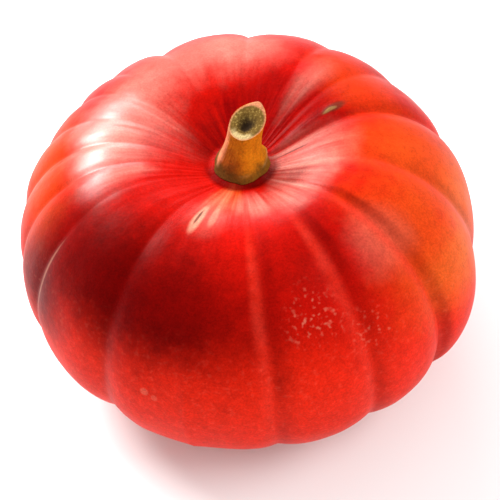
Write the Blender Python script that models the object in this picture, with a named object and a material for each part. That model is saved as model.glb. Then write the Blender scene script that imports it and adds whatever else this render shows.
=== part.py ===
"""A flattened, ribbed pumpkin with its cut stalk, standing on the flat spot under it.

The fruit is one solid: a dome with a deep hollow round the stalk, a small hollow at the blossom
end, and lobes of uneven width between creased grooves.  The stalk is a second solid: a woody stub
with a flared, ridged foot and a slanting cut, seated in the hollow.

Frame: metres, +Z up, origin on the floor under the middle of the fruit.
Run with: blender --background --python part.py
"""

import math

import bmesh
import bpy
from mathutils import Matrix, Vector

# ---- Fruit -----------------------------------------------------------------------------------
FRUIT_RADIUS = 0.150  # axis to the skin at the widest level, before the lobes are raised on it
DOME_HEIGHT = 0.108  # widest level to the top of the dome, before the hollow is pressed in
BELLY_DEPTH = 0.084  # widest level to the bottom of the belly, before its hollow is pressed in
FLAT_SPOT_DEPTH = 0.0013  # how much of the belly's lowest part is flattened where it rests
DOME_SQUARENESS = 0.78  # exponent of the outline's radius: 1 is an ellipse, less is boxier
BELLY_SQUARENESS = 0.93  # exponent of the outline's depth below the widest level

STALK_HOLLOW_DEPTH = 0.0395
STALK_HOLLOW_SPREAD = 0.0555  # radius at which that hollow is down to about a third of its depth
BLOSSOM_HOLLOW_DEPTH = 0.014
BLOSSOM_HOLLOW_SPREAD = 0.028  # radius at which that hollow is down to about a third of its depth
BLOSSOM_END_RADIUS = 0.005  # small level patch in the middle of the blossom end

# Each lobe: width in degrees, depth of the groove that it starts from, rise of its crest over the
# plain outline, how far across it the crest lies, and how slowly the groove deepens away from the
# stalk: 1 is evenly, more keeps the shoulder smooth.
FIRST_GROOVE = 15.0  # bearing of the first groove, in degrees from +X towards +Y
LOBES = (
    (21.0, 0.0070, -0.0020, 0.50, 0.5),
    (21.0, 0.0035, -0.0005, 0.50, 0.9),
    (27.0, 0.0035, 0.0015, 0.50, 1.4),
    (30.0, 0.0040, 0.0022, 0.40, 1.8),
    (17.0, 0.0065, 0.0010, 0.50, 2.2),
    (12.0, 0.0025, 0.0005, 0.50, 2.4),
    (15.0, 0.0030, 0.0000, 0.50, 2.2),
    (14.0, 0.0025, 0.0015, 0.50, 2.2),
    (14.0, 0.0032, 0.0000, 0.50, 1.6),
    (16.0, 0.0030, -0.0005, 0.45, 1.4),
    (27.0, 0.0035, -0.0010, 0.40, 1.8),
    (23.0, 0.0070, -0.0020, 0.60, 1.2),
    (21.0, 0.0008, -0.0015, 0.45, 2.5),
    (24.5, 0.0042, -0.0006, 0.50, 1.4),
    (22.0, 0.0040, 0.0010, 0.50, 1.2),
    (26.5, 0.0045, 0.0045, 0.38, 1.2),
    (29.0, 0.0030, -0.0010, 0.50, 1.0),
)
GROOVE_SHARPNESS = 2.6  # exponent of a lobe's cross-section: higher is a narrower groove
BELLY_GROOVE_SHARE = 0.35  # how much of the relief is left near the blossom end

FACET_ANGLE = 4.3  # most that one facet may span round the fruit, in degrees
DOME_RINGS = 16  # rings of facets from the widest level up to the stalk's seat
BELLY_RINGS = 14  # rings of facets from the blossom end up to the widest level
RING_CROWDING = 1.5  # exponent that draws the rings together towards both hollows

# ---- Stalk -----------------------------------------------------------------------------------
STALK_FOOT_RADIUS = 0.0174  # flared foot, where the stalk meets the fruit
STALK_NECK_RADIUS = 0.0100  # where the flare has run out
STALK_TOP_RADIUS = 0.0109  # at the cut
STALK_HEIGHT = 0.0385  # seat to the high side of the cut
FLARE_HEIGHT = 0.030  # seat to where the foot's flare has run out into the neck
STALK_LEAN = 10.0  # lean of the top from upright, in degrees
LEAN_BEARING = 10.0  # bearing that the top leans to, in degrees from +X towards +Y
STALK_RIDGES = 5
RIDGE_HEIGHT = 0.0010  # at the foot; the ridges run out at the cut
CUT_TILT = 22.0  # tilt of the cut from level, in degrees
CUT_BEARING = 238.0  # bearing that the cut faces, in degrees from +X towards +Y
PITH_RADIUS = 0.0055  # mouth of the hollow that the pith leaves in the cut
PITH_DEPTH = 0.0030
STALK_FACETS = 40
STALK_RINGS = 14
BALL_FACETS = 24

SEAT_MARGIN = 0.0020  # the level seat in the hollow is this much wider than the stalk's foot
SEAT_GAP = 0.0003  # clear gap between the stalk's foot and its seat
KNIFE_MARGIN = 0.010  # how far the cutting block reaches past the stalk all round

RIND_RED = (0.58, 0.030, 0.010, 1.0)
STALK_TAN = (0.42, 0.21, 0.06, 1.0)


def clear_scene():
    for obj in list(bpy.data.objects):
        bpy.data.objects.remove(obj, do_unlink=True)


def new_collection(name, hidden=False):
    collection = bpy.data.collections.new(name)
    collection.hide_render = hidden
    bpy.context.scene.collection.children.link(collection)
    return collection


def new_material(name, colour, roughness):
    material = bpy.data.materials.new(name)
    material.use_nodes = True
    shader = material.node_tree.nodes["Principled BSDF"]
    shader.inputs["Base Color"].default_value = colour
    shader.inputs["Roughness"].default_value = roughness
    shader.inputs["Metallic"].default_value = 0.0
    return material


def new_object(name, mesh, collection):
    obj = bpy.data.objects.new(name, mesh)
    collection.objects.link(obj)
    return obj


def loft(name, sections):
    """A closed mesh through level rings of points, lowest first, with a flat cap on both ends."""
    skin = bmesh.new()
    rings = [[skin.verts.new(point) for point in section] for section in sections]
    for lower, upper in zip(rings, rings[1:]):
        for index, corner in enumerate(lower):
            after = (index + 1) % len(lower)
            skin.faces.new((corner, lower[after], upper[after], upper[index]))
    skin.faces.new(reversed(rings[0]))
    skin.faces.new(rings[-1])
    mesh = bpy.data.meshes.new(name)
    skin.to_mesh(mesh)
    skin.free()
    mesh.shade_smooth()
    return mesh


# ---- The fruit's rule: an outline turned round the axis, with lobes raised on it -------------
def outline_radius(latitude):
    """Radius of the outline at a latitude in radians: +90 degrees at the stalk, -90 underneath."""
    return FRUIT_RADIUS * math.cos(latitude) ** DOME_SQUARENESS


def latitude_at(radius):
    """The latitude above the widest level where the outline has that radius."""
    return math.acos((radius / FRUIT_RADIUS) ** (1.0 / DOME_SQUARENESS))


def hollow(radius, depth, spread):
    return depth * math.exp(-((radius / spread) ** 2))


def outline_rise(latitude):
    """Height of the outline over the widest level, with both hollows pressed in."""
    radius = outline_radius(latitude)
    sine = math.sin(latitude)
    if sine >= 0.0:
        return DOME_HEIGHT * sine - hollow(radius, STALK_HOLLOW_DEPTH, STALK_HOLLOW_SPREAD)
    belly = BELLY_DEPTH * (-sine) ** BELLY_SQUARENESS
    return hollow(radius, BLOSSOM_HOLLOW_DEPTH, BLOSSOM_HOLLOW_SPREAD) - belly


def outline_normal(latitude):
    """Outward direction across the outline, as (radial, up)."""
    step = 1e-4
    outward = outline_radius(latitude - step) - outline_radius(latitude + step)
    rise = outline_rise(latitude + step) - outline_rise(latitude - step)
    length = math.hypot(outward, rise)
    return rise / length, outward / length


def crowded(count, limit):
    """Latitudes from 0 up to, but not at, a limit, closer together the nearer they are to it."""
    return [limit * (1.0 - (1.0 - ring / count) ** RING_CROWDING) for ring in range(count)]


SEAT_RADIUS = STALK_FOOT_RADIUS + SEAT_MARGIN
SEAT_LATITUDE = latitude_at(SEAT_RADIUS)
BLOSSOM_LATITUDE = -latitude_at(BLOSSOM_END_RADIUS)
RING_LATITUDES = (
    [BLOSSOM_LATITUDE, *reversed(crowded(BELLY_RINGS, BLOSSOM_LATITUDE))]
    + crowded(DOME_RINGS, SEAT_LATITUDE)[1:]
    + [SEAT_LATITUDE]
)
WIDEST_LEVEL = -min(outline_rise(latitude) for latitude in RING_LATITUDES) - FLAT_SPOT_DEPTH
SEAT_HEIGHT = WIDEST_LEVEL + outline_rise(SEAT_LATITUDE)


def relief_share(latitude, slowness):
    """How much of the lobes' relief shows at a latitude, from none at the seat to all at the side."""
    radius = outline_radius(latitude)
    if latitude > 0.0:
        out = (radius - SEAT_RADIUS) / (FRUIT_RADIUS - SEAT_RADIUS)
        return max(out, 0.0) ** slowness
    side = (radius - BLOSSOM_END_RADIUS) / (FRUIT_RADIUS - BLOSSOM_END_RADIUS)
    return side * (BELLY_GROOVE_SHARE + (1.0 - BELLY_GROOVE_SHARE) * side)


def lobed_meridians():
    """(bearing in radians, relief at full share, slowness) of each meridian, lobe by lobe."""
    meridians = []
    start = FIRST_GROOVE
    for index, (width, groove, crest_rise, crest_place, slowness) in enumerate(LOBES):
        next_groove, next_slowness = LOBES[(index + 1) % len(LOBES)][1::3]
        facets = math.ceil(width / FACET_ANGLE)
        for facet in range(facets):
            across = facet / facets
            edge = abs(2.0 * across ** (math.log(0.5) / math.log(crest_place)) - 1.0)
            depth = groove + (next_groove - groove) * across
            relief = crest_rise * (1.0 - edge**2) - depth * edge**GROOVE_SHARPNESS
            here = slowness + (next_slowness - slowness) * across
            meridians.append((math.radians(start + width * across), relief, here))
        start += width
    return meridians


def fruit_section(latitude, meridians):
    """The ring of skin points at one latitude, none of them under the floor."""
    radius = outline_radius(latitude)
    height = WIDEST_LEVEL + outline_rise(latitude)
    radial, up = outline_normal(latitude)
    section = []
    for bearing, relief, slowness in meridians:
        raised = relief * relief_share(latitude, slowness)
        reach = radius + radial * raised
        level = max(height + up * raised, 0.0)
        section.append((reach * math.cos(bearing), reach * math.sin(bearing), level))
    return section


def make_fruit(collection):
    meridians = lobed_meridians()
    sections = [fruit_section(latitude, meridians) for latitude in RING_LATITUDES]
    fruit = new_object("fruit", loft("fruit", sections), collection)
    fruit.data.materials.append(new_material("rind", RIND_RED, 0.35))
    return fruit


# ---- The stalk -------------------------------------------------------------------------------
def middle_line(height):
    """Where the stalk's middle lies at a height over its foot: it leans more the higher it is."""
    shift = math.tan(math.radians(STALK_LEAN)) * height * math.sqrt(height / STALK_HEIGHT)
    bearing = math.radians(LEAN_BEARING)
    level = SEAT_HEIGHT + SEAT_GAP + height
    return Vector((shift * math.cos(bearing), shift * math.sin(bearing), level))


def stalk_radius(height):
    """Radius of the stalk over its ridges: a flared foot, a neck and a slightly wider top."""
    flare = (STALK_FOOT_RADIUS - STALK_NECK_RADIUS) * max(1.0 - height / FLARE_HEIGHT, 0.0) ** 2
    widening = (STALK_TOP_RADIUS - STALK_NECK_RADIUS) * (height / STALK_HEIGHT) ** 2
    return STALK_NECK_RADIUS + flare + widening


def stalk_section(height):
    centre = middle_line(height)
    ridge_height = RIDGE_HEIGHT * max(1.0 - height / STALK_HEIGHT, 0.0)
    section = []
    for facet in range(STALK_FACETS):
        bearing = 2.0 * math.pi * facet / STALK_FACETS
        ridge = ridge_height * (math.cos(STALK_RIDGES * bearing) - 1.0)
        reach = stalk_radius(height) + ridge
        section.append(centre + Vector((reach * math.cos(bearing), reach * math.sin(bearing), 0.0)))
    return section


def cut_placement():
    """Turns +Z to the way the slanting cut faces, and moves the origin to the cut's middle."""
    tilt, bearing = math.radians(CUT_TILT), math.radians(CUT_BEARING)
    level = math.sin(tilt)
    facing = Vector((level * math.cos(bearing), level * math.sin(bearing), math.cos(tilt)))
    middle = middle_line(STALK_HEIGHT - STALK_TOP_RADIUS * math.tan(tilt))
    return Matrix.Translation(middle) @ facing.to_track_quat("Z", "Y").to_matrix().to_4x4()


def new_cutter(name, shape, placement, collection):
    mesh = bpy.data.meshes.new(name)
    shape.to_mesh(mesh)
    shape.free()
    cutter = new_object(name, mesh, collection)
    cutter.matrix_world = placement
    cutter.hide_render = True
    cutter.display_type = "WIRE"
    return cutter


def cut_away(obj, cutter):
    boolean = obj.modifiers.new(cutter.name, "BOOLEAN")
    boolean.operation = "DIFFERENCE"
    boolean.solver = "EXACT"
    boolean.object = cutter


def make_knife(collection):
    """A block that takes off everything above the cut."""
    width = 2.0 * (STALK_HEIGHT + KNIFE_MARGIN)
    block = bmesh.new()
    bmesh.ops.create_cube(block, size=width)
    lift = Matrix.Translation((0.0, 0.0, width / 2.0))
    return new_cutter("knife", block, cut_placement() @ lift, collection)


def make_pith_ball(collection):
    """A ball that dips into the cut by the pith's depth, where it is as wide as the pith."""
    radius = (PITH_RADIUS**2 + PITH_DEPTH**2) / (2.0 * PITH_DEPTH)
    ball = bmesh.new()
    bmesh.ops.create_uvsphere(ball, u_segments=BALL_FACETS, v_segments=BALL_FACETS, radius=radius)
    lift = Matrix.Translation((0.0, 0.0, radius - PITH_DEPTH))
    return new_cutter("pith_ball", ball, cut_placement() @ lift, collection)


def make_stalk(collection, cutters):
    grown_height = STALK_HEIGHT + STALK_TOP_RADIUS
    heights = [grown_height * ring / STALK_RINGS for ring in range(STALK_RINGS + 1)]
    sections = [stalk_section(height) for height in heights]
    stalk = new_object("stalk", loft("stalk", sections), collection)
    stalk.data.materials.append(new_material("stalk_wood", STALK_TAN, 0.75))
    cut_away(stalk, make_knife(cutters))
    cut_away(stalk, make_pith_ball(cutters))
    return stalk


def main():
    clear_scene()
    pumpkin = new_collection("pumpkin")
    cutters = new_collection("cutters", hidden=True)
    make_fruit(pumpkin)
    make_stalk(pumpkin, cutters)


main()
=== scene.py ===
# %% [markdown]
# # A ribbed pumpkin
#
# This lesson builds a flattened, ribbed pumpkin with its cut stalk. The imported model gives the
# fixed frame: where the pumpkin stands and how large it is. Everything that shows is grown on top
# of that frame by two Geometry Nodes trees, one for the rind and one for the stalk, and painted
# with procedural materials. All lengths are in metres and +Z is up.

import math

import bpy
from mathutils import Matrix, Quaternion, Vector


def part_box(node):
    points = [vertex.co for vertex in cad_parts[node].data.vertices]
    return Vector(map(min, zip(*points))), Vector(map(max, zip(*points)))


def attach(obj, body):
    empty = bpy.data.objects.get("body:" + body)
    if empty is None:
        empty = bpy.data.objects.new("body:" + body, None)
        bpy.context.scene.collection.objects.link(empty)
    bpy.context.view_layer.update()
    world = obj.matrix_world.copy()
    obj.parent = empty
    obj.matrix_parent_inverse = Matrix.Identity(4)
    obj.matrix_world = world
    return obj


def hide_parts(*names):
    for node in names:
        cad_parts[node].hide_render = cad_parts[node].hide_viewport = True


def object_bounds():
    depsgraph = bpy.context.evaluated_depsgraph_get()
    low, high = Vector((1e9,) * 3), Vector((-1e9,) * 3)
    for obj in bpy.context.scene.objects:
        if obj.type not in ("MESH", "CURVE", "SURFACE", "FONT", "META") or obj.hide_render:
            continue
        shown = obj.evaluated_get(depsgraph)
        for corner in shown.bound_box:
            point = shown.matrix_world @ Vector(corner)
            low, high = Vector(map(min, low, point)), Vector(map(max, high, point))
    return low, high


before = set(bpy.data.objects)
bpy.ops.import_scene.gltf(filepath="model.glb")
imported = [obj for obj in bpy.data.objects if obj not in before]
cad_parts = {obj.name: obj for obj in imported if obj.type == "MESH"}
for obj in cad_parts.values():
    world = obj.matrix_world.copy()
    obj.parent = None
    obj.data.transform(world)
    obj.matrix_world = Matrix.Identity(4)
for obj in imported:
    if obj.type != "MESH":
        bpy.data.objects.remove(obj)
cad_low, cad_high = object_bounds()
fruit_low, fruit_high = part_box("fruit")
stalk_low, stalk_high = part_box("stalk")
print("the frame measures", [round(side * 1000) for side in cad_high - cad_low], "mm")

# %% [markdown]
# ## Camera, floor and light
#
# The camera looks down on the pumpkin from the front, at 52 degrees above the horizon, and is
# tipped a few degrees, as a hand-held one is. The floor is a plain pale sheet. A bright, even sky
# lights the rind from all round. Three soft panels model the form: a wide low one behind, a
# smaller brighter one behind on the left, which draws the highlight on the shoulder of the lobes
# there, and a large one high on the right.

# %% Camera
CAMERA_ELEVATION = math.radians(52.0)
CAMERA_DISTANCE = 0.750
CAMERA_TIP = math.radians(-5.04)
LENS = 81.0
SENSOR_WIDTH = 36.0
SHIFT_RIGHT, SHIFT_UP = 0.0046, -0.0264
WIDEST_SHARE = 0.455

widest_level = WIDEST_SHARE * fruit_high.z
look_at = Vector((0.0, 0.0, widest_level))


def aimed_at(target, place, tip=0.0):
    """The rotation that turns a lamp's or camera's -Z from its place to the target."""
    return (target - place).to_track_quat("-Z", "Y") @ Quaternion((0.0, 0.0, 1.0), tip)


camera = bpy.data.objects.new("camera", bpy.data.cameras.new("camera"))
camera.location = look_at + CAMERA_DISTANCE * Vector(
    (0.0, -math.cos(CAMERA_ELEVATION), math.sin(CAMERA_ELEVATION))
)
camera.rotation_mode = "QUATERNION"
camera.rotation_quaternion = aimed_at(look_at, camera.location, CAMERA_TIP)
camera.data.lens = LENS
camera.data.sensor_width = SENSOR_WIDTH
camera.data.shift_x, camera.data.shift_y = SHIFT_RIGHT, SHIFT_UP
bpy.context.scene.collection.objects.link(camera)
bpy.context.scene.camera = camera
print("camera at", [round(value, 3) for value in camera.location])


# %% Light helpers
def from_middle(bearing, elevation, distance):
    """A place round the pumpkin: bearing from +X towards +Y and elevation, in degrees."""
    turn, lift = math.radians(bearing), math.radians(elevation)
    level = math.cos(lift)
    return look_at + distance * Vector(
        (level * math.cos(turn), level * math.sin(turn), math.sin(lift))
    )


def soft_panel(name, place, size, watts):
    """A rectangular area lamp that faces the middle of the pumpkin."""
    lamp = bpy.data.lights.new(name, "AREA")
    lamp.shape = "RECTANGLE"
    lamp.size, lamp.size_y = size
    lamp.energy = watts
    panel = bpy.data.objects.new(name, lamp)
    panel.location = place
    panel.rotation_mode = "QUATERNION"
    panel.rotation_quaternion = aimed_at(look_at, panel.location)
    bpy.context.scene.collection.objects.link(panel)
    print(name, "is", size, "m and gives", watts, "W")


# %% Light
SKY_STRENGTH = 0.75

bpy.context.scene.view_settings.view_transform = "Standard"
soft_panel("window", from_middle(100.0, 28.0, 1.5), (1.10, 0.45), 13.0)
soft_panel("window_pane", from_middle(139.0, 38.0, 1.4), (0.62, 0.40), 28.0)
soft_panel("right_panel", from_middle(-20.0, 50.0, 1.6), (0.80, 0.80), 14.0)

sky = bpy.data.worlds.new("studio")
sky.use_nodes = True
background = sky.node_tree.nodes["Background"]
background.inputs["Color"].default_value = (1.0, 1.0, 1.0, 1.0)
background.inputs["Strength"].default_value = SKY_STRENGTH
bpy.context.scene.world = sky

# %% [markdown]
# ## Arithmetic on node sockets
#
# A node tree that follows a formula is hard to read as a list of Math nodes. The small class below
# lets the same formula be written as ordinary arithmetic: each operator adds one Math node and
# hands back its output. The geometry trees and the materials share it.


# %% Node helpers
def plug(value, socket):
    if isinstance(value, Field):
        socket.id_data.links.new(value.socket, socket)
    else:
        socket.default_value = value


def add_node(tree, kind, inputs=None, **settings):
    """Adds a node; inputs maps the name or number of a socket to a value or a Field."""
    node = tree.nodes.new(kind)
    for name, value in settings.items():
        setattr(node, name, value)
    for slot, value in (inputs or {}).items():
        plug(value, node.inputs[slot])
    return node


class Field:
    """An output socket that ordinary arithmetic turns into Math nodes."""

    def __init__(self, socket):
        self.socket = socket

    def math(self, operation, *others):
        values = dict(enumerate((self, *others)))
        tree = self.socket.id_data
        return Field(add_node(tree, "ShaderNodeMath", values, operation=operation).outputs[0])

    def __add__(self, other):
        return self.math("ADD", other)

    def __sub__(self, other):
        return self.math("SUBTRACT", other)

    def __mul__(self, other):
        return self.math("MULTIPLY", other)

    def __truediv__(self, other):
        return self.math("DIVIDE", other)

    def __pow__(self, other):
        return self.math("POWER", other)

    def __neg__(self):
        return self.math("MULTIPLY", -1.0)

    def __rsub__(self, other):
        return self.math("MULTIPLY_ADD", -1.0, other)

    __radd__ = __add__
    __rmul__ = __mul__

    def at_least(self, limit):
        return self.math("MAXIMUM", limit)

    def at_most(self, limit):
        return self.math("MINIMUM", limit)

    def over(self, limit):
        return self.math("GREATER_THAN", limit)

    def bell(self, spread):
        """1 where this is zero, falling smoothly to nothing a few spreads away."""
        return (-((self / spread) ** 2.0)).math("EXPONENT")

    def between(self, other, share):
        """This where share is 0, the other where it is 1."""
        return self + (other - self) * share


def vector_of(tree, x, y, z):
    return Field(add_node(tree, "ShaderNodeCombineXYZ", {0: x, 1: y, 2: z}).outputs[0])


def noise(tree, place, scale, detail=2.0, roughness=0.5):
    """Noise centred on zero, from about -0.5 to 0.5."""
    inputs = {"Vector": place, "Scale": scale, "Detail": detail, "Roughness": roughness}
    return Field(add_node(tree, "ShaderNodeTexNoise", inputs).outputs[0]) - 0.5


# %% [markdown]
# ## Growing a mesh from a tree
#
# Each tree declares its sizes as named inputs, so that the same tree can grow a different pumpkin.
# `grown` gives a tree its inputs, lets it run once and keeps the result as a plain mesh.


# %% Tree helpers
MERGE_DISTANCE = 2e-6


def new_growth_tree(name, sizes, counts):
    """An empty tree with named inputs, and those inputs as a dictionary of Fields."""
    tree = bpy.data.node_groups.new(name, "GeometryNodeTree")
    tree.interface.new_socket("Geometry", in_out="INPUT", socket_type="NodeSocketGeometry")
    for size in sizes:
        tree.interface.new_socket(size, in_out="INPUT", socket_type="NodeSocketFloat")
    for count in counts:
        tree.interface.new_socket(count, in_out="INPUT", socket_type="NodeSocketInt")
    tree.interface.new_socket("Material", in_out="INPUT", socket_type="NodeSocketMaterial")
    tree.interface.new_socket("Geometry", in_out="OUTPUT", socket_type="NodeSocketGeometry")
    source = tree.nodes.new("NodeGroupInput")
    return tree, {socket.name: Field(socket) for socket in source.outputs if socket.name}


def wrapped_grid(tree, columns, rows):
    """A flat grid to be wrapped round an axis: its geometry, and each point's column and row."""
    grid = add_node(
        tree, "GeometryNodeMeshGrid", {"Vertices X": columns + 1.0, "Vertices Y": rows + 1.0}
    )
    index = Field(add_node(tree, "GeometryNodeInputIndex").outputs[0])
    column = (index / (rows + 1.0)).math("FLOOR")
    row = index - column * (rows + 1.0)
    return Field(grid.outputs["Mesh"]), column, row


def finish_tree(tree, geometry, position, marks, material):
    """Moves the grid's points, closes its seam and poles, and stores what the material reads."""
    moved = add_node(tree, "GeometryNodeSetPosition", {"Geometry": geometry, "Position": position})
    shape = Field(moved.outputs[0])
    for name, value in marks.items():
        stored = add_node(
            tree,
            "GeometryNodeStoreNamedAttribute",
            {"Geometry": shape, "Name": name},
            data_type="FLOAT",
            domain="POINT",
        )
        plug(value, stored.inputs["Value"])
        shape = Field(stored.outputs[0])
    merged = add_node(
        tree, "GeometryNodeMergeByDistance", {"Geometry": shape, "Distance": MERGE_DISTANCE}
    )
    smooth = add_node(tree, "GeometryNodeSetShadeSmooth", {"Geometry": Field(merged.outputs[0])})
    real = add_node(tree, "GeometryNodeRealizeInstances", {"Geometry": Field(smooth.outputs[0])})
    painted = add_node(
        tree,
        "GeometryNodeSetMaterial",
        {"Geometry": Field(real.outputs[0]), "Material": material},
    )
    target = tree.nodes.new("NodeGroupOutput")
    plug(Field(painted.outputs[0]), target.inputs[0])


def mesh_box(mesh):
    corners = [vertex.co for vertex in mesh.vertices]
    low = Vector([min(corner[axis] for corner in corners) for axis in range(3)])
    high = Vector([max(corner[axis] for corner in corners) for axis in range(3)])
    return low, high


def grown(name, seed_mesh, tree, values):
    """The plain object that a tree grows from a seed mesh."""
    piece = bpy.data.objects.new(name, seed_mesh)
    bpy.context.scene.collection.objects.link(piece)
    modifier = piece.modifiers.new("Grow", "NODES")
    modifier.node_group = tree
    for item in tree.interface.items_tree:
        if item.in_out == "INPUT" and item.name in values:
            modifier[item.identifier] = values[item.name]
    graph = bpy.context.evaluated_depsgraph_get()
    mesh = bpy.data.meshes.new_from_object(piece.evaluated_get(graph))
    piece.modifiers.clear()
    piece.data = mesh
    mesh.name = name
    low, high = mesh_box(mesh)
    print(name, len(mesh.polygons), "faces,", [round(side * 1000, 1) for side in high - low], "mm")
    return piece


# %% [markdown]
# ## The rind's shape
#
# A pumpkin's rind is a turned outline with lobes raised on it. The outline is a squared-off dome
# over a shallower belly, with a deep hollow round the stalk and a small one at the blossom end.
# Between two lobes the skin is creased into a groove. The lobes are of uneven width, so a list
# gives each one: its width in degrees, the depth of the groove it starts from, the rise of its
# crest, how far across it the crest lies, and how slowly the groove deepens away from the stalk.
#
# The list is a mesh of loose points, one for a lobe, each with those values as attributes. The
# tree wraps a fine grid round the axis, gives every lobe the same number of columns, and so each
# groove lies exactly on a column and stays crisp.

# %% Lobe list
FIRST_GROOVE = 15.0
# width in degrees, groove depth, crest rise, where across the crest lies, slowness
LOBES = (
    (21.0, 0.0070, -0.0020, 0.50, 0.5),
    (21.0, 0.0035, -0.0005, 0.50, 0.9),
    (27.0, 0.0035, 0.0015, 0.50, 1.4),
    (30.0, 0.0040, 0.0022, 0.40, 1.8),
    (17.0, 0.0065, 0.0010, 0.50, 2.2),
    (12.0, 0.0025, 0.0005, 0.50, 2.4),
    (15.0, 0.0030, 0.0000, 0.50, 2.2),
    (14.0, 0.0025, 0.0015, 0.50, 2.2),
    (14.0, 0.0032, 0.0000, 0.50, 1.6),
    (16.0, 0.0030, -0.0005, 0.45, 1.4),
    (27.0, 0.0035, -0.0010, 0.40, 1.8),
    (23.0, 0.0070, -0.0020, 0.60, 1.2),
    (21.0, 0.0008, -0.0015, 0.45, 2.5),
    (24.5, 0.0042, -0.0006, 0.50, 1.4),
    (22.0, 0.0040, 0.0010, 0.50, 1.2),
    (26.5, 0.0045, 0.0045, 0.38, 1.2),
    (29.0, 0.0030, -0.0010, 0.50, 1.0),
)


def lobe_list():
    """The list as a mesh of loose points, one for a lobe, with its values as attributes."""
    mesh = bpy.data.meshes.new("lobe_list")
    mesh.from_pydata([(0.0, 0.0, 0.0)] * len(LOBES), [], [])
    widths, grooves, crests, crest_places, slownesses = zip(*LOBES)
    starts = [FIRST_GROOVE + sum(widths[:index]) for index in range(len(LOBES))]
    columns = {
        "start": [math.radians(start) for start in starts],
        "width": [math.radians(width) for width in widths],
        "groove": grooves,
        "crest": crests,
        "skew": [math.log(0.5) / math.log(place) for place in crest_places],
        "slowness": slownesses,
    }
    for name, values in columns.items():
        mesh.attributes.new(name, "FLOAT", "POINT").data.foreach_set("value", values)
    return mesh


print(len(LOBES), "lobes,", sum(lobe[0] for lobe in LOBES), "degrees round")

# %% [markdown]
# The sizes below follow the frame. The radius and the widest level come from the CAD fruit's box,
# and the seat's level from the CAD stalk's. The dome, the belly and the hollows are shares of the
# radius, because a pumpkin keeps its proportions as it grows. The fine details are plain lengths.

# %% Rind sizes
FOOT_RADIUS = 0.0174
SEAT_MARGIN = 0.0020
SEAT_GAP = 0.0003

wide, deep, _ = fruit_high - fruit_low
radius = (wide + deep) / 4.0
rind_sizes = {
    "Radius": radius,
    "Widest Level": widest_level,
    "Dome Height": 0.72 * radius,
    "Belly Depth": 0.56 * radius,
    "Hollow Depth": 0.263 * radius,
    "Hollow Spread": 0.370 * radius,
    "Blossom Depth": 0.093 * radius,
    "Blossom Spread": 0.187 * radius,
    "Seat Radius": FOOT_RADIUS + SEAT_MARGIN,
    "Seat Level": stalk_low.z - SEAT_GAP,
    "Groove Sharpness": 2.6,
    "Crease Depth": 0.0004,
    "Groove Softness": 0.07,
    "Wrinkle Depth": 0.0009,
    "Unevenness": 0.0030,
    "Wart Rise": 0.0011,
    "Wart Radius": 0.0028,
}
rind_counts = {"Columns per Lobe": 26, "Rings": 200}
print("the rind's plain radius is", round(radius * 1000, 1), "mm")

# %% [markdown]
# The outline starts as half a circle of latitudes, from the blossom end to the stalk. Powers a
# little under 1 square off its shoulders, and two bells press in the hollows. A lobe pushes the
# skin along the outline's own outward direction, so that the relief stays even over the shoulder.

# %% Rind outline
SHOULDER_POWER = 0.78
BELLY_POWER = 0.93
SLOPE_STEP = 1e-3


def outline(size, latitude):
    """Radius and rise over the widest level of the turned outline."""
    reach = size["Radius"] * latitude.math("COSINE").at_least(0.0) ** SHOULDER_POWER
    sine = latitude.math("SINE")
    dome = size["Dome Height"] * sine.at_least(0.0)
    belly = size["Belly Depth"] * (-sine).at_least(0.0) ** BELLY_POWER
    top = size["Hollow Depth"] * reach.bell(size["Hollow Spread"]) * sine.over(0.0)
    under = size["Blossom Depth"] * reach.bell(size["Blossom Spread"]) * (-sine).over(0.0)
    return reach, dome - belly - top + under


def outward_slope(size, latitude):
    """How far the outline goes up and out over a short step, and the length of that step."""
    inner_reach, inner_rise = outline(size, latitude + SLOPE_STEP)
    outer_reach, outer_rise = outline(size, latitude - SLOPE_STEP)
    climb = inner_rise - outer_rise
    run = outer_reach - inner_reach
    return climb, run, (run * run + climb * climb) ** 0.5


# %% [markdown]
# Every column of the grid belongs to one lobe, and its place across that lobe says how near the
# grooves are. The crest is a parabola across the lobe. The groove is a high power of the distance
# from mid-lobe, softened at the very bottom so that it isn't cut like a knife. The relief fades
# towards the stalk at each lobe's own pace.


# %% Lobes round the rind
class Lobe:
    """Which lobe a column of the grid is on, how far across it, and what the list says of it."""

    def __init__(self, tree, size, column, count):
        lobes = size["Geometry"]

        def listed(name, index):
            inputs = {"Name": name}
            named = add_node(tree, "GeometryNodeInputNamedAttribute", inputs, data_type="FLOAT")
            inputs = {"Geometry": lobes, "Value": Field(named.outputs["Attribute"]), "Index": index}
            return Field(add_node(tree, "GeometryNodeSampleIndex", inputs).outputs[0])

        place = column / size["Columns per Lobe"]
        lobe = place.math("FLOOR")
        here = lobe.math("MODULO", count)
        after = (lobe + 1.0).math("MODULO", count)
        self.across = place - lobe
        self.width = listed("width", here)
        self.crest = listed("crest", here)
        self.bearing = listed("start", here) + self.width * self.across
        self.edge = (self.across ** listed("skew", here) * 2.0 - 1.0).math("ABSOLUTE")
        self.depth = listed("groove", here).between(listed("groove", after), self.across)
        self.slowness = listed("slowness", here).between(listed("slowness", after), self.across)

    def relief(self, size):
        """How far the lobe stands out of the turned outline: up on the crest, down in a groove."""
        softness = size["Groove Softness"]
        soft_edge = 1.0 - ((1.0 - self.edge) ** 2.0 + softness * softness) ** 0.5
        crest = self.crest * (1.0 - self.edge**2.0)
        return crest - self.depth * soft_edge.at_least(0.0) ** size["Groove Sharpness"]

    def relief_share(self, size, reach, on_dome):
        """How much of the relief shows: none at the stalk, all at the side, some underneath."""
        out = (reach - size["Seat Radius"]) / (size["Radius"] - size["Seat Radius"])
        above = out.at_least(0.0) ** self.slowness
        side = reach / size["Radius"]
        below = side * (side * 0.65 + 0.35)
        return below.between(above, on_dome)


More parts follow.
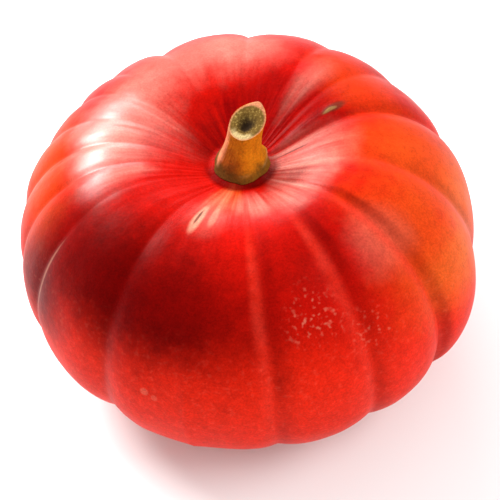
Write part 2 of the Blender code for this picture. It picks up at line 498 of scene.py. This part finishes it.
# %% [markdown]
# Three finer things lie on the lobes: a narrow crease at the bottom of each groove, long wrinkles
# that gather towards the stalk, and one corky wart on the right, a little behind the stalk. The
# wrinkles are noise drawn out along the fall. They stop where the stalk sits, so that its foot
# stands on smooth skin.


# %% Crease, wrinkles and wart
COMMON_GROOVE = 0.004
CREASE_WIDTH = 0.0024
WART_BEARING = math.radians(22.3)
WART_REACH = 0.0618


def crease(size, lobe, reach):
    """The fine fold at the bottom of a groove."""
    from_groove = (1.0 - lobe.edge) * lobe.width * reach * 0.5
    return from_groove.bell(CREASE_WIDTH) * size["Crease Depth"] * (lobe.depth / COMMON_GROOVE)


def wrinkles(tree, size, east, north, latitude, reach, on_dome):
    """Long wrinkles that run out from the stalk's seat."""
    spokes = vector_of(tree, east * 9.0, north * 9.0, latitude * 1.1)
    near_stalk = reach.bell(size["Radius"] * 0.55) * on_dome + 0.25
    height = noise(tree, spokes, 1.0, 3.0) * size["Wrinkle Depth"] * near_stalk * 2.0
    settled = ((reach - size["Seat Radius"]) / 0.010).at_least(0.0).at_most(1.0)
    return height * settled


def wart(size, east_reach, north_reach, on_dome):
    """A low round bump, from a place's distances east and north of the axis."""
    from_wart = (
        (east_reach - WART_REACH * math.cos(WART_BEARING)) ** 2.0
        + (north_reach - WART_REACH * math.sin(WART_BEARING)) ** 2.0
    ) ** 0.5
    return from_wart.bell(size["Wart Radius"]) * size["Wart Rise"] * on_dome


# %% [markdown]
# The tree puts these together. It crowds the grid's rows towards the two ends of the axis, pushes
# each point outward by the relief there, and keeps the skin over the floor and over the stalk's
# seat. It also stores three measures for the paint: how far a place lies beside a groove, how much
# of a groove is near, and the fall from the stalk.


# %% Rind tree
ROW_CROWDING = 1.5
BESIDE_SCALE = 160.0


def rind_tree():
    tree, size = new_growth_tree("grow_rind", rind_sizes, rind_counts)
    counter = add_node(tree, "GeometryNodeAttributeDomainSize", {"Geometry": size["Geometry"]})
    lobe_count = Field(counter.outputs["Point Count"])
    grid, column, row = wrapped_grid(tree, lobe_count * size["Columns per Lobe"], size["Rings"])
    lobe = Lobe(tree, size, column, lobe_count)
    east, north = lobe.bearing.math("COSINE"), lobe.bearing.math("SINE")

    turn = row / size["Rings"] * 2.0 - 1.0
    crowded = turn.math("SIGN") * (1.0 - (1.0 - turn.math("ABSOLUTE")) ** ROW_CROWDING)
    latitude = crowded * (math.pi / 2.0)
    on_dome = latitude.over(0.0)
    reach, rise = outline(size, latitude)
    climb, run, length = outward_slope(size, latitude)

    lumps = vector_of(tree, reach * east, reach * north, rise)
    unevenness = noise(tree, lumps, 13.0, 1.5) * size["Unevenness"]
    relief = lobe.relief(size) - crease(size, lobe, reach) + unevenness
    push = relief * lobe.relief_share(size, reach, on_dome)
    push = push + wrinkles(tree, size, east, north, latitude, reach, on_dome)
    push = push + wart(size, reach * east, reach * north, on_dome)

    level = size["Widest Level"] + rise + push * run / length
    seat = size["Seat Level"] * on_dome * (size["Seat Radius"] - reach).over(0.0)
    level = level.at_least(seat).at_least(0.0)
    outward = reach + push * climb / length
    position = vector_of(tree, outward * east, outward * north, level)

    # "beside" is close to the millimetres right of a groove, and fades out in mid-lobe.
    swing = (lobe.across * (2.0 * math.pi)).math("SINE")
    marks = {
        "beside": swing * lobe.width * reach * BESIDE_SCALE,
        "groove": lobe.edge * (lobe.depth / COMMON_GROOVE).at_most(1.0),
        "fall": 0.5 - latitude / math.pi,
    }
    finish_tree(tree, grid, position, marks, size["Material"])
    return tree


# %% [markdown]
# ## The rind's finish
#
# A ripe red pumpkin is never one colour. This one is crimson at the front left, partly its own
# colour and partly painted shade, orange-red on the right side and the far left, and darkened by
# painted shade on the far wall of the hollow round the stalk. It wears a pale waxy bloom on the
# shoulders, which also carries painted sheen and highlights. Fine streaks run out from the stalk,
# and the skin carries small scars, flecks and a wart. An even noise can't say where each of these
# lies, and a drawn picture would not survive a change of shape, so the material works from the
# rind's own measures: the bearing round the stalk, the fall from stalk to blossom end and the
# distance to the nearest groove, which the tree stored.
# The base shines very little, and a clear coat lies only where the wax is polished.


# %% Shader helpers
DARKEST_SHADE = 0.3


def new_finish(name):
    material = bpy.data.materials.new(name)
    material.use_nodes = True
    return material, material.node_tree, material.node_tree.nodes["Principled BSDF"]


def mix_colours(tree, share, first, second):
    values = {0: share, 6: first, 7: second}
    mixer = add_node(tree, "ShaderNodeMix", values, data_type="RGBA", clamp_factor=True)
    return Field(mixer.outputs[2])


def read_attribute(tree, name):
    return Field(add_node(tree, "ShaderNodeAttribute", attribute_name=name).outputs["Fac"])


def object_place(tree):
    """Object coordinates, whole and as x, y and z."""
    place = Field(add_node(tree, "ShaderNodeTexCoord").outputs["Object"])
    parts = add_node(tree, "ShaderNodeSeparateXYZ", {0: place})
    return place, [Field(part) for part in parts.outputs]


def ramp(field, start, end):
    """0 below start, 1 over end, smooth between."""
    tree = field.socket.id_data
    values = {"Value": field, "From Min": start, "From Max": end}
    node = add_node(tree, "ShaderNodeMapRange", values, interpolation_type="SMOOTHSTEP")
    return Field(node.outputs[0])


def toned(tree, colour, shade):
    """The colour, darker where the shade is under 1 and lighter where it is over 1."""
    values = {"Color": colour, "Value": shade.at_least(DARKEST_SHADE)}
    return Field(add_node(tree, "ShaderNodeHueSaturation", values).outputs["Color"])


def roughen(tree, shader, height, strength):
    """Bumps a shader's surface by a height in metres."""
    values = {"Height": height, "Distance": 1.0, "Strength": strength}
    plug(Field(add_node(tree, "ShaderNodeBump", values).outputs[0]), shader.inputs["Normal"])


# %% Where the material is on the rind
class Skin:
    """The bearing, the fall away from the stalk, and the noises that the rind's layers share."""

    def __init__(self, tree):
        self.place, (x, y, z) = object_place(tree)
        self.ahead, self.height = -y, z
        self.from_axis = (x * x + y * y) ** 0.5
        self.east, self.north = x / self.from_axis, y / self.from_axis
        self.fall = read_attribute(tree, "fall")
        self.blotches = noise(tree, self.place, 26.0, 4.0, 0.6)
        self.ragged = noise(tree, self.place, 90.0, 3.0, 0.6)
        self.mottle = noise(tree, self.place, 150.0, 3.0, 0.65)
        self.near_stalk = 1.0 - ramp(self.fall, 0.05, 0.20)
        spokes = vector_of(tree, self.east * 10.0, self.north * 10.0, self.fall * 6.0)
        self.streaks = noise(tree, spokes, 1.0, 3.0, 0.55) * (self.near_stalk * 0.85 + 0.15)

    def zone(self, bearing, fall, half_turn, half_fall, soft=0.70, ragged=1.0):
        """1 inside an oval on the skin and 0 outside it, with the bearing and half_turn in degrees.

        A larger soft makes the edge blend wider, and a larger ragged makes it more uneven."""
        turn = math.radians(bearing)
        facing = self.east * math.cos(turn) + self.north * math.sin(turn)
        angle = facing.at_most(1.0).at_least(-1.0).math("ARCCOSINE") / math.radians(half_turn)
        along = (self.fall - fall) / half_fall
        away = (angle * angle + along * along) ** 0.5
        away = away + (self.blotches * 0.9 + self.ragged * 0.5) * ragged
        return 1.0 - ramp(away, 1.0 - soft, 1.0 + soft)


# %% [markdown]
# The paint is laid on in soft-edged ovals, like an airbrush with stencils. Each row names a colour,
# how strongly it covers, and the oval: its bearing, its fall (0 at the stalk, 1 at the blossom end)
# and its half-width and half-height. Later rows lie over earlier ones.

# %% Rind colours
RED = (0.440, 0.0035, 0.0012, 1.0)
LOW_RED = (0.690, 0.0170, 0.0040, 1.0)
CRIMSON = (0.105, 0.0001, 0.0002, 1.0)
DEEP_RED = (0.210, 0.0004, 0.0006, 1.0)
ORANGE_RED = (0.680, 0.0620, 0.0060, 1.0)
ORANGE = (0.760, 0.2100, 0.0300, 1.0)
# pale wax bloom, also laid on as painted sheen and painted highlights
BLOOM_AND_SHEEN = (0.760, 0.3300, 0.2500, 1.0)
SCAR_PALE = (0.700, 0.3800, 0.2400, 1.0)
SCAR_DARK = (0.090, 0.0200, 0.0100, 1.0)
CORK = (0.230, 0.1250, 0.0450, 1.0)

# colour, cover, bearing, fall, half-width in degrees, half-height as a share of the fall
RIND_PAINT = (
    # the back and the underside
    (DEEP_RED, 0.40, 120.0, 0.400, 75.0, 0.180),
    (DEEP_RED, 0.35, 95.0, 0.330, 22.0, 0.080),
    (ORANGE_RED, 0.50, 70.0, 0.420, 24.0, 0.110),
    (ORANGE_RED, 0.45, 150.0, 0.460, 22.0, 0.090),
    (ORANGE_RED, 0.45, 0.0, 0.860, 400.0, 0.200),
    (ORANGE, 0.30, 0.0, 0.970, 400.0, 0.120),
    # crimson skin darkened with painted shade at the front left, and painted shade between the
    # front grooves near the top
    (CRIMSON, 0.95, -139.0, 0.262, 25.0, 0.110),
    (CRIMSON, 0.78, -112.0, 0.250, 22.0, 0.092),
    (CRIMSON, 0.90, -160.0, 0.370, 13.0, 0.085),
    (CRIMSON, 0.30, -76.0, 0.180, 13.0, 0.055),
    (CRIMSON, 0.40, -59.0, 0.150, 12.0, 0.055),
    # painted shade on the far wall of the hollow
    (DEEP_RED, 0.90, 30.0, 0.050, 26.0, 0.075),
    (CRIMSON, 0.22, 48.0, 0.065, 34.0, 0.050),
    (DEEP_RED, 0.85, 62.0, 0.060, 20.0, 0.055),
    (DEEP_RED, 0.85, 100.0, 0.030, 36.0, 0.045),
    (DEEP_RED, 0.35, 142.0, 0.030, 20.0, 0.030),
    # orange-red on the right side and the far left, and a patch of painted sheen in front of the
    # stalk
    (ORANGE_RED, 0.70, -35.0, 0.280, 15.0, 0.130),
    (ORANGE_RED, 0.90, -8.0, 0.250, 18.0, 0.120),
    (ORANGE_RED, 0.40, 33.0, 0.190, 20.0, 0.055),
    (ORANGE_RED, 0.60, 172.0, 0.300, 18.0, 0.090),
    (ORANGE, 0.35, -12.0, 0.370, 16.0, 0.070),
    (ORANGE, 0.22, -32.0, 0.370, 10.0, 0.060),
    (ORANGE, 0.25, -108.0, 0.045, 13.0, 0.030),
    # wax bloom with painted sheen round the front of the hollow
    (BLOOM_AND_SHEEN, 0.20, -112.0, 0.075, 10.0, 0.040),
    (BLOOM_AND_SHEEN, 0.30, -84.0, 0.064, 15.0, 0.022),
    (BLOOM_AND_SHEEN, 0.26, -58.0, 0.072, 16.0, 0.024),
    (BLOOM_AND_SHEEN, 0.36, -34.0, 0.062, 17.0, 0.034),
    (BLOOM_AND_SHEEN, 0.30, -6.0, 0.060, 19.0, 0.050),
    # wax bloom on the shoulders, with painted sheen and painted highlights
    (BLOOM_AND_SHEEN, 0.14, -45.0, 0.220, 9.0, 0.050),
    (BLOOM_AND_SHEEN, 0.30, 160.0, 0.145, 28.0, 0.070),
    (BLOOM_AND_SHEEN, 0.24, 112.0, 0.165, 34.0, 0.055),
    (BLOOM_AND_SHEEN, 0.20, 84.0, 0.165, 16.0, 0.050),
    (BLOOM_AND_SHEEN, 0.20, 47.0, 0.120, 6.0, 0.050),
    (BLOOM_AND_SHEEN, 0.34, 172.0, 0.150, 12.0, 0.040),
    (BLOOM_AND_SHEEN, 0.22, -168.0, 0.130, 4.0, 0.040),
)
RIND_MARKS = (
    # a split scar in front of the stalk, and a pale one beside it
    (SCAR_PALE, 0.52, -117.0, 0.100, 2.5, 0.026),
    (SCAR_DARK, 0.80, -117.4, 0.098, 0.7, 0.014),
    (SCAR_PALE, 0.25, -109.0, 0.090, 2.2, 0.020),
    # a long scratch at the left and two specks low in front
    (SCAR_PALE, 0.20, -157.0, 0.360, 0.5, 0.085),
    (SCAR_PALE, 0.16, -118.0, 0.420, 1.0, 0.008),
    (SCAR_PALE, 0.12, -115.5, 0.428, 0.8, 0.007),
    # a dark slit right of the stalk, and the wart with its corky middle
    (SCAR_DARK, 0.75, 4.0, 0.044, 1.1, 0.017),
    (SCAR_DARK, 0.75, 22.6, 0.110, 2.4, 0.018),
    (CORK, 0.80, 22.2, 0.104, 1.1, 0.010),
)


# %% Lay the paint
def lay_ovals(tree, skin, rows, colour, cover_scale=1.0, **edge):
    """Lays each row's colour over the colours before it."""
    for paint, cover, bearing, fall, half_turn, half_fall in rows:
        share = skin.zone(bearing, fall, half_turn, half_fall, **edge) * cover_scale
        colour = mix_colours(tree, share * cover, colour, paint)
    return colour


def ground_colour(tree, skin):
    """The red under all the paint: deep on top, lighter and warmer down the side."""
    low = ramp(skin.fall + skin.blotches * 0.06, 0.24, 0.45)
    return mix_colours(tree, low, RED, LOW_RED)


print(len(RIND_PAINT), "ovals of paint and", len(RIND_MARKS), "small marks")

# %% [markdown]
# A groove is two flanks that meet. On the front lobes the flank to the left of a groove catches
# the light and the one to the right lies in shade, so a soft lighter and a soft darker band follow
# every groove there. The grooves at the far left turn away from the light and get no lighter band.


# %% Flanks of the grooves
def paint_flanks(tree, skin, colour):
    beside = read_attribute(tree, "beside") + skin.ragged * 2.0
    front = ramp(skin.ahead, -0.01, 0.04) * ramp(skin.fall, 0.07, 0.16)
    front = front * ramp(read_attribute(tree, "groove"), 0.45, 0.70)
    lit = (beside + 4.0).bell(3.5) * front * ramp(skin.east, -0.62, -0.10)
    shaded = (beside - 3.5).bell(4.5) * front
    depth = skin.zone(-50.0, 0.120, 22.0, 0.060) * 0.35 + 0.28
    # the lit band is a painted highlight with a little painted sheen, and the shaded band is
    # painted shade
    colour = mix_colours(tree, lit * 0.42, colour, LOW_RED)
    colour = mix_colours(tree, lit * (skin.ragged + 0.3) * 0.07, colour, BLOOM_AND_SHEEN)
    return mix_colours(tree, shaded * (skin.blotches + depth), colour, CRIMSON)


# %% [markdown]
# Small things tell the eye that the skin is real: pale flecks on two patches in front and the corky
# scar where the blossom fell off underneath. A ring of painted shadow darkens the skin in front of
# the stalk's foot.


# %% Small marks of growth
def add_flecks(tree, skin, colour):
    flecks = ramp(noise(tree, skin.place, 300.0, 1.0), 0.04, 0.28)
    share = skin.zone(-74.0, 0.272, 6.0, 0.042) + skin.zone(-60.0, 0.330, 5.0, 0.030) * 0.5
    share = share + ramp(skin.fall, 0.26, 0.40) * 0.10
    return mix_colours(tree, flecks * share * 0.34, colour, SCAR_PALE)


def shade_stalk_foot(tree, skin, colour):
    # a painted shadow on the skin in front of the stalk's foot
    ring = (1.0 - ramp(skin.from_axis, 0.0200, 0.0250)) * ramp(-skin.north, -0.3, 0.5)
    return mix_colours(tree, ring * 0.85, colour, CRIMSON)


def cork_blossom_scar(tree, skin, colour):
    near_floor = 1.0 - ramp(skin.height, 0.004, 0.030)
    middle = 1.0 - ramp(skin.from_axis + skin.mottle * 0.006, 0.006, 0.011)
    return mix_colours(tree, near_floor * middle * 0.9, colour, CORK)


# %% [markdown]
# The bare skin is only faintly glossy, and its shine is tinted, because the wax lies over a deep
# red. Where the wax is rubbed smooth it shines white. A clear coat does this, and it lies on the
# shoulder at the left, thinly on the lobe before it and round the front of the hollow.


# %% Gloss
def polished(skin):
    polish = skin.zone(166.0, 0.145, 23.0, 0.080, 0.35, 0.4)
    polish = polish + skin.zone(-166.0, 0.140, 8.0, 0.060, 0.40, 0.4) * 0.30
    polish = polish + skin.zone(-60.0, 0.065, 60.0, 0.035) * 0.28
    return (polish * (skin.streaks * 0.8 + 0.9)).at_least(0.0).at_most(1.0)


def add_gloss(tree, skin, shader):
    plug(noise(tree, skin.place, 60.0, 3.0) * 0.14 + 0.42, shader.inputs["Roughness"])
    shader.inputs["IOR"].default_value = 1.13
    shader.inputs["Specular Tint"].default_value = (1.0, 0.35, 0.28, 1.0)
    plug(polished(skin), shader.inputs["Coat Weight"])
    shader.inputs["Coat Roughness"].default_value = 0.34


# %% Rind material
def rind_material():
    material, tree, shader = new_finish("rind")
    skin = Skin(tree)
    colour = ground_colour(tree, skin)
    # Near the stalk the paint is drawn out into streaks.
    streaky = skin.streaks * skin.near_stalk * 4.0 + 1.0
    colour = lay_ovals(tree, skin, RIND_PAINT, colour, streaky)
    colour = paint_flanks(tree, skin, colour)
    colour = add_flecks(tree, skin, colour)
    colour = shade_stalk_foot(tree, skin, colour)
    colour = lay_ovals(tree, skin, RIND_MARKS, colour, soft=0.35, ragged=0.5)
    colour = cork_blossom_scar(tree, skin, colour)

    grain = noise(tree, skin.place, 750.0, 3.0, 0.7)
    uneven = skin.mottle * 0.55 + skin.blotches * 0.25 + skin.streaks * 0.25
    plug(toned(tree, colour, grain * 0.95 + uneven + 0.98), shader.inputs["Base Color"])
    add_gloss(tree, skin, shader)

    pores = noise(tree, skin.place, 700.0, 2.0)
    dents = noise(tree, skin.place, 120.0, 2.0)
    height = pores * 0.00014 + dents * 0.00035 + skin.streaks * 0.0006
    roughen(tree, shader, height, 0.6)
    return material


# %% Grow the rind
rind = grown(
    "rind",
    lobe_list(),
    rind_tree(),
    {**rind_sizes, **rind_counts, "Material": rind_material()},
)
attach(rind, "root")
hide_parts("fruit")

# %% [markdown]
# ## The stalk
#
# The stalk is a dry, woody stub. It is ridged, flares where it grew into the fruit, leans a little
# and was cut at a slant. One grid makes it: the first row closes the foot, and the others climb the
# side, turn over the rim of the cut and run to the middle of the cut face.

# %% Stalk sizes
stalk_sizes = {
    "Foot Radius": FOOT_RADIUS,
    "Neck Radius": 0.0100,
    "Top Radius": 0.0109,
    "Height": stalk_high.z - stalk_low.z,
    "Flare Height": 0.030,
    "Lean": math.tan(math.radians(10.0)),
    "Cut Slope": math.tan(math.radians(22.0)),
    "Ridge Height": 0.0006,
    "Tip Rise": 0.0022,
    "Knob Rise": 0.0026,
    "Knob Level": 0.007,
    "Knobbiness": 0.0022,
    "Fibre Depth": 0.0006,
    "Grain Depth": 0.0011,
    "Pith Radius": 0.0048,
    "Pith Depth": 0.0045,
    "Rim Drop": 0.0003,
    "Foot Level": stalk_low.z,
}
stalk_counts = {"Columns": 200, "Side Rows": 110, "Face Rows": 44}
RIDGES = 5.0
LEAN_BEARING = math.radians(10.0)
CUT_HIGH_BEARING = math.radians(58.0)
KNOB_BEARING = math.radians(15.0)
TWIST = 9.0
print("the stalk is", round(stalk_sizes["Height"] * 1000, 1), "mm high")

# %% [markdown]
# The side is a flared tube with five ridges that twist as they climb, finer ribs and fibres
# between them, a few knobs, and a single larger knob low on the right. The cut's high edge is drawn
# out to a tip, as a blade leaves it. On the cut face the pith has shrunk into a hollow.


# %% Stalk side
def stalk_side(tree, size, bearing, height, towards_high):
    """The distance of the stalk's side from its own axis, and its fibres for the paint."""
    cosine, sine = bearing.math("COSINE"), bearing.math("SINE")
    flare = (1.0 - height / size["Flare Height"]).at_least(0.0)
    widening = (height / size["Height"]) ** 2.0
    plain = size["Neck Radius"] + (size["Foot Radius"] - size["Neck Radius"]) * flare**2.0
    plain = plain + (size["Top Radius"] - size["Neck Radius"]) * widening

    twist = bearing + height * TWIST
    ridge = ((twist - CUT_HIGH_BEARING) * RIDGES).math("COSINE")
    rib = ((twist * 11.0 + 1.3).math("SINE")) * 0.25
    fibres = noise(tree, vector_of(tree, cosine * 6.0, sine * 6.0, height * 60.0), 1.0, 4.0, 0.6)
    knobs = noise(tree, vector_of(tree, cosine * 1.6, sine * 1.6, height * 90.0), 1.0, 1.0)
    fade = 1.0 - height / size["Height"]
    relief = size["Ridge Height"] * (ridge + rib - 0.6) * fade + size["Fibre Depth"] * fibres
    relief = relief + knobs * size["Knobbiness"] * fade

    tip = towards_high.math("ARCCOSINE").bell(0.42) * size["Tip Rise"] * widening
    towards_knob = (bearing - KNOB_BEARING).math("COSINE").math("ARCCOSINE")
    knob = towards_knob.bell(0.24) * (height - size["Knob Level"]).bell(0.0035) * size["Knob Rise"]
    return plain + relief + tip + knob, fibres


# %% Stalk tree
def stalk_tree():
    tree, size = new_growth_tree("grow_stalk", stalk_sizes, stalk_counts)
    rows = size["Side Rows"] + size["Face Rows"] + 1.0
    grid, column, row = wrapped_grid(tree, size["Columns"], rows)
    bearing = column / size["Columns"] * (2.0 * math.pi)
    cosine, sine = bearing.math("COSINE"), bearing.math("SINE")
    towards_high = (bearing - CUT_HIGH_BEARING).math("COSINE")
    side = ((row - 1.0) / size["Side Rows"]).at_least(0.0).at_most(1.0)
    face = ((row - 1.0 - size["Side Rows"]) / size["Face Rows"]).at_least(0.0)
    on_face = face.over(0.0)

    cut_middle = size["Height"] - size["Top Radius"] * size["Cut Slope"]
    rim_height = cut_middle + size["Top Radius"] * size["Cut Slope"] * towards_high
    side_height = side * rim_height
    side_reach, fibres = stalk_side(tree, size, bearing, side_height, towards_high)
    reach = side_reach * (1.0 - face) * row.over(0.5)

    grain = noise(tree, vector_of(tree, reach * cosine, reach * sine, 0.0), 420.0, 3.0)
    hollow = size["Pith Depth"] * reach.bell(size["Pith Radius"])
    plane = cut_middle + reach * towards_high * size["Cut Slope"]
    cut_level = plane + (grain * size["Grain Depth"] - hollow) * on_face
    rounded = (face * 14.0).at_most(1.0)
    cut_level = cut_level - (1.0 - rounded) * size["Rim Drop"]
    height = side_height.between(cut_level, on_face)

    shift = size["Lean"] * height * (height / size["Height"]).at_least(0.0) ** 0.5
    position = vector_of(
        tree,
        shift * math.cos(LEAN_BEARING) + reach * cosine,
        shift * math.sin(LEAN_BEARING) + reach * sine,
        size["Foot Level"] + height,
    )
    marks = {
        "face": on_face,
        "rise": height * 1000.0,
        "reach": reach * 1000.0,
        "fibre": fibres,
        "uphill": towards_high,
        "east": cosine,
    }
    finish_tree(tree, grid, position, marks, size["Material"])
    return tree


# %% [markdown]
# ## The stalk's finish
#
# Dry stalk is several colours at once: golden on the right and red-brown on the left, partly
# painted light from the right, and olive in the furrows and round the foot. A painted pinkish rim
# light runs along the left edge and the rim of the cut.
# The tip of the knob is cream. The cut face is tan and olive pith, dark in the hollow, with a pale
# crescent on its low side. The tree stored the measures that say where each of these lies, such as
# the millimetres up the stalk and out from its axis.


# %% Stalk colours
STALK_GOLD = (0.560, 0.1900, 0.0060, 1.0)
STALK_RED_BROWN = (0.260, 0.0560, 0.0050, 1.0)
STALK_OLIVE = (0.070, 0.0420, 0.0080, 1.0)
# pinkish painted rim light
SALMON_RIM_LIGHT = (0.650, 0.2400, 0.1200, 1.0)
CUT_OLIVE = (0.130, 0.0700, 0.0130, 1.0)
CUT_TAN = (0.330, 0.2200, 0.0600, 1.0)
CUT_DARK = (0.022, 0.0110, 0.0040, 1.0)
CUT_CREAM = (0.500, 0.3700, 0.1700, 1.0)


# %% Paint the side and the cut
def stalk_side_colour(tree, x, blotches):
    fibre = read_attribute(tree, "fibre")
    rise = read_attribute(tree, "rise")
    # golden on the right and red-brown on the left: partly the stalk's own colours, partly painted
    # light from the right
    lit_right_share = ramp(x + blotches * 0.012, -0.009, 0.006)
    side = mix_colours(tree, lit_right_share, STALK_RED_BROWN, STALK_GOLD)
    side = mix_colours(tree, ramp(-fibre - blotches * 0.4, 0.02, 0.35) * 0.7, side, STALK_OLIVE)
    foot = 1.0 - ramp(rise + blotches * 14.0, 3.0, 11.0)
    side = mix_colours(tree, foot * 0.75, side, STALK_OLIVE)
    west = -read_attribute(tree, "east")
    # painted pinkish rim light along the left edge
    left_rim_light = ramp(west + blotches * 0.12, 0.88, 1.00) * ramp(rise, 2.0, 8.0)
    side = mix_colours(tree, left_rim_light * 0.80, side, SALMON_RIM_LIGHT)
    knob = ramp(read_attribute(tree, "reach"), 14.8, 16.6) * ramp(rise, 3.5, 6.5)
    return mix_colours(tree, knob * 0.6, side, CUT_CREAM)


def stalk_cut_colour(tree, blotches, specks):
    reach = read_attribute(tree, "reach")
    downhill = -read_attribute(tree, "uphill")
    cut = mix_colours(tree, ramp(specks + blotches * 0.4, 0.0, 0.30), CUT_OLIVE, CUT_TAN)
    centre = 1.0 - ramp(reach + blotches * 5.0 + specks * 2.0, 2.0, 7.0)
    cut = mix_colours(tree, centre, cut, CUT_DARK)
    crescent = ramp(reach + blotches * 4.0, 5.8, 8.0) * ramp(downhill + blotches * 0.5, 0.55, 0.95)
    cut = mix_colours(tree, crescent * 0.85, cut, CUT_CREAM)
    # painted pinkish rim light round the edge of the cut
    return mix_colours(tree, ramp(reach, 9.2, 10.6) * 0.75, cut, SALMON_RIM_LIGHT)


# %% Stalk material
def stalk_material():
    material, tree, shader = new_finish("stalk_wood")
    place, (x, _, _) = object_place(tree)
    blotches = noise(tree, place, 90.0, 4.0, 0.6)
    specks = noise(tree, place, 700.0, 3.0, 0.7)
    side = stalk_side_colour(tree, x, blotches)
    cut = stalk_cut_colour(tree, blotches, specks)
    colour = mix_colours(tree, read_attribute(tree, "face"), side, cut)
    shade = specks * 1.1 + blotches * 0.5 + 1.0
    plug(toned(tree, colour, shade), shader.inputs["Base Color"])
    shader.inputs["Roughness"].default_value = 0.8
    shader.inputs["IOR"].default_value = 1.15
    height = specks * 0.0004 + read_attribute(tree, "fibre") * 0.0004
    roughen(tree, shader, height, 0.7)
    return material


# %% Grow the stalk
stub = grown(
    "stalk_stub",
    bpy.data.meshes.new("stalk_seed"),
    stalk_tree(),
    {**stalk_sizes, **stalk_counts, "Material": stalk_material()},
)
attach(stub, "root")
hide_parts("stalk")

# %% [markdown]
# ## The floor
#
# A plain pale sheet, far wider than the view.

# %% Floor
FLOOR_WIDTH = 8.0
FLOOR_GREY = 0.88

bpy.ops.mesh.primitive_plane_add(size=FLOOR_WIDTH, location=(0.0, 0.0, cad_low.z))
floor = bpy.context.object
floor.name = "floor"
paper, _, paper_shader = new_finish("pale_paper")
paper_shader.inputs["Base Color"].default_value = (FLOOR_GREY, FLOOR_GREY, FLOOR_GREY, 1.0)
paper_shader.inputs["Roughness"].default_value = 0.9
floor.data.materials.append(paper)
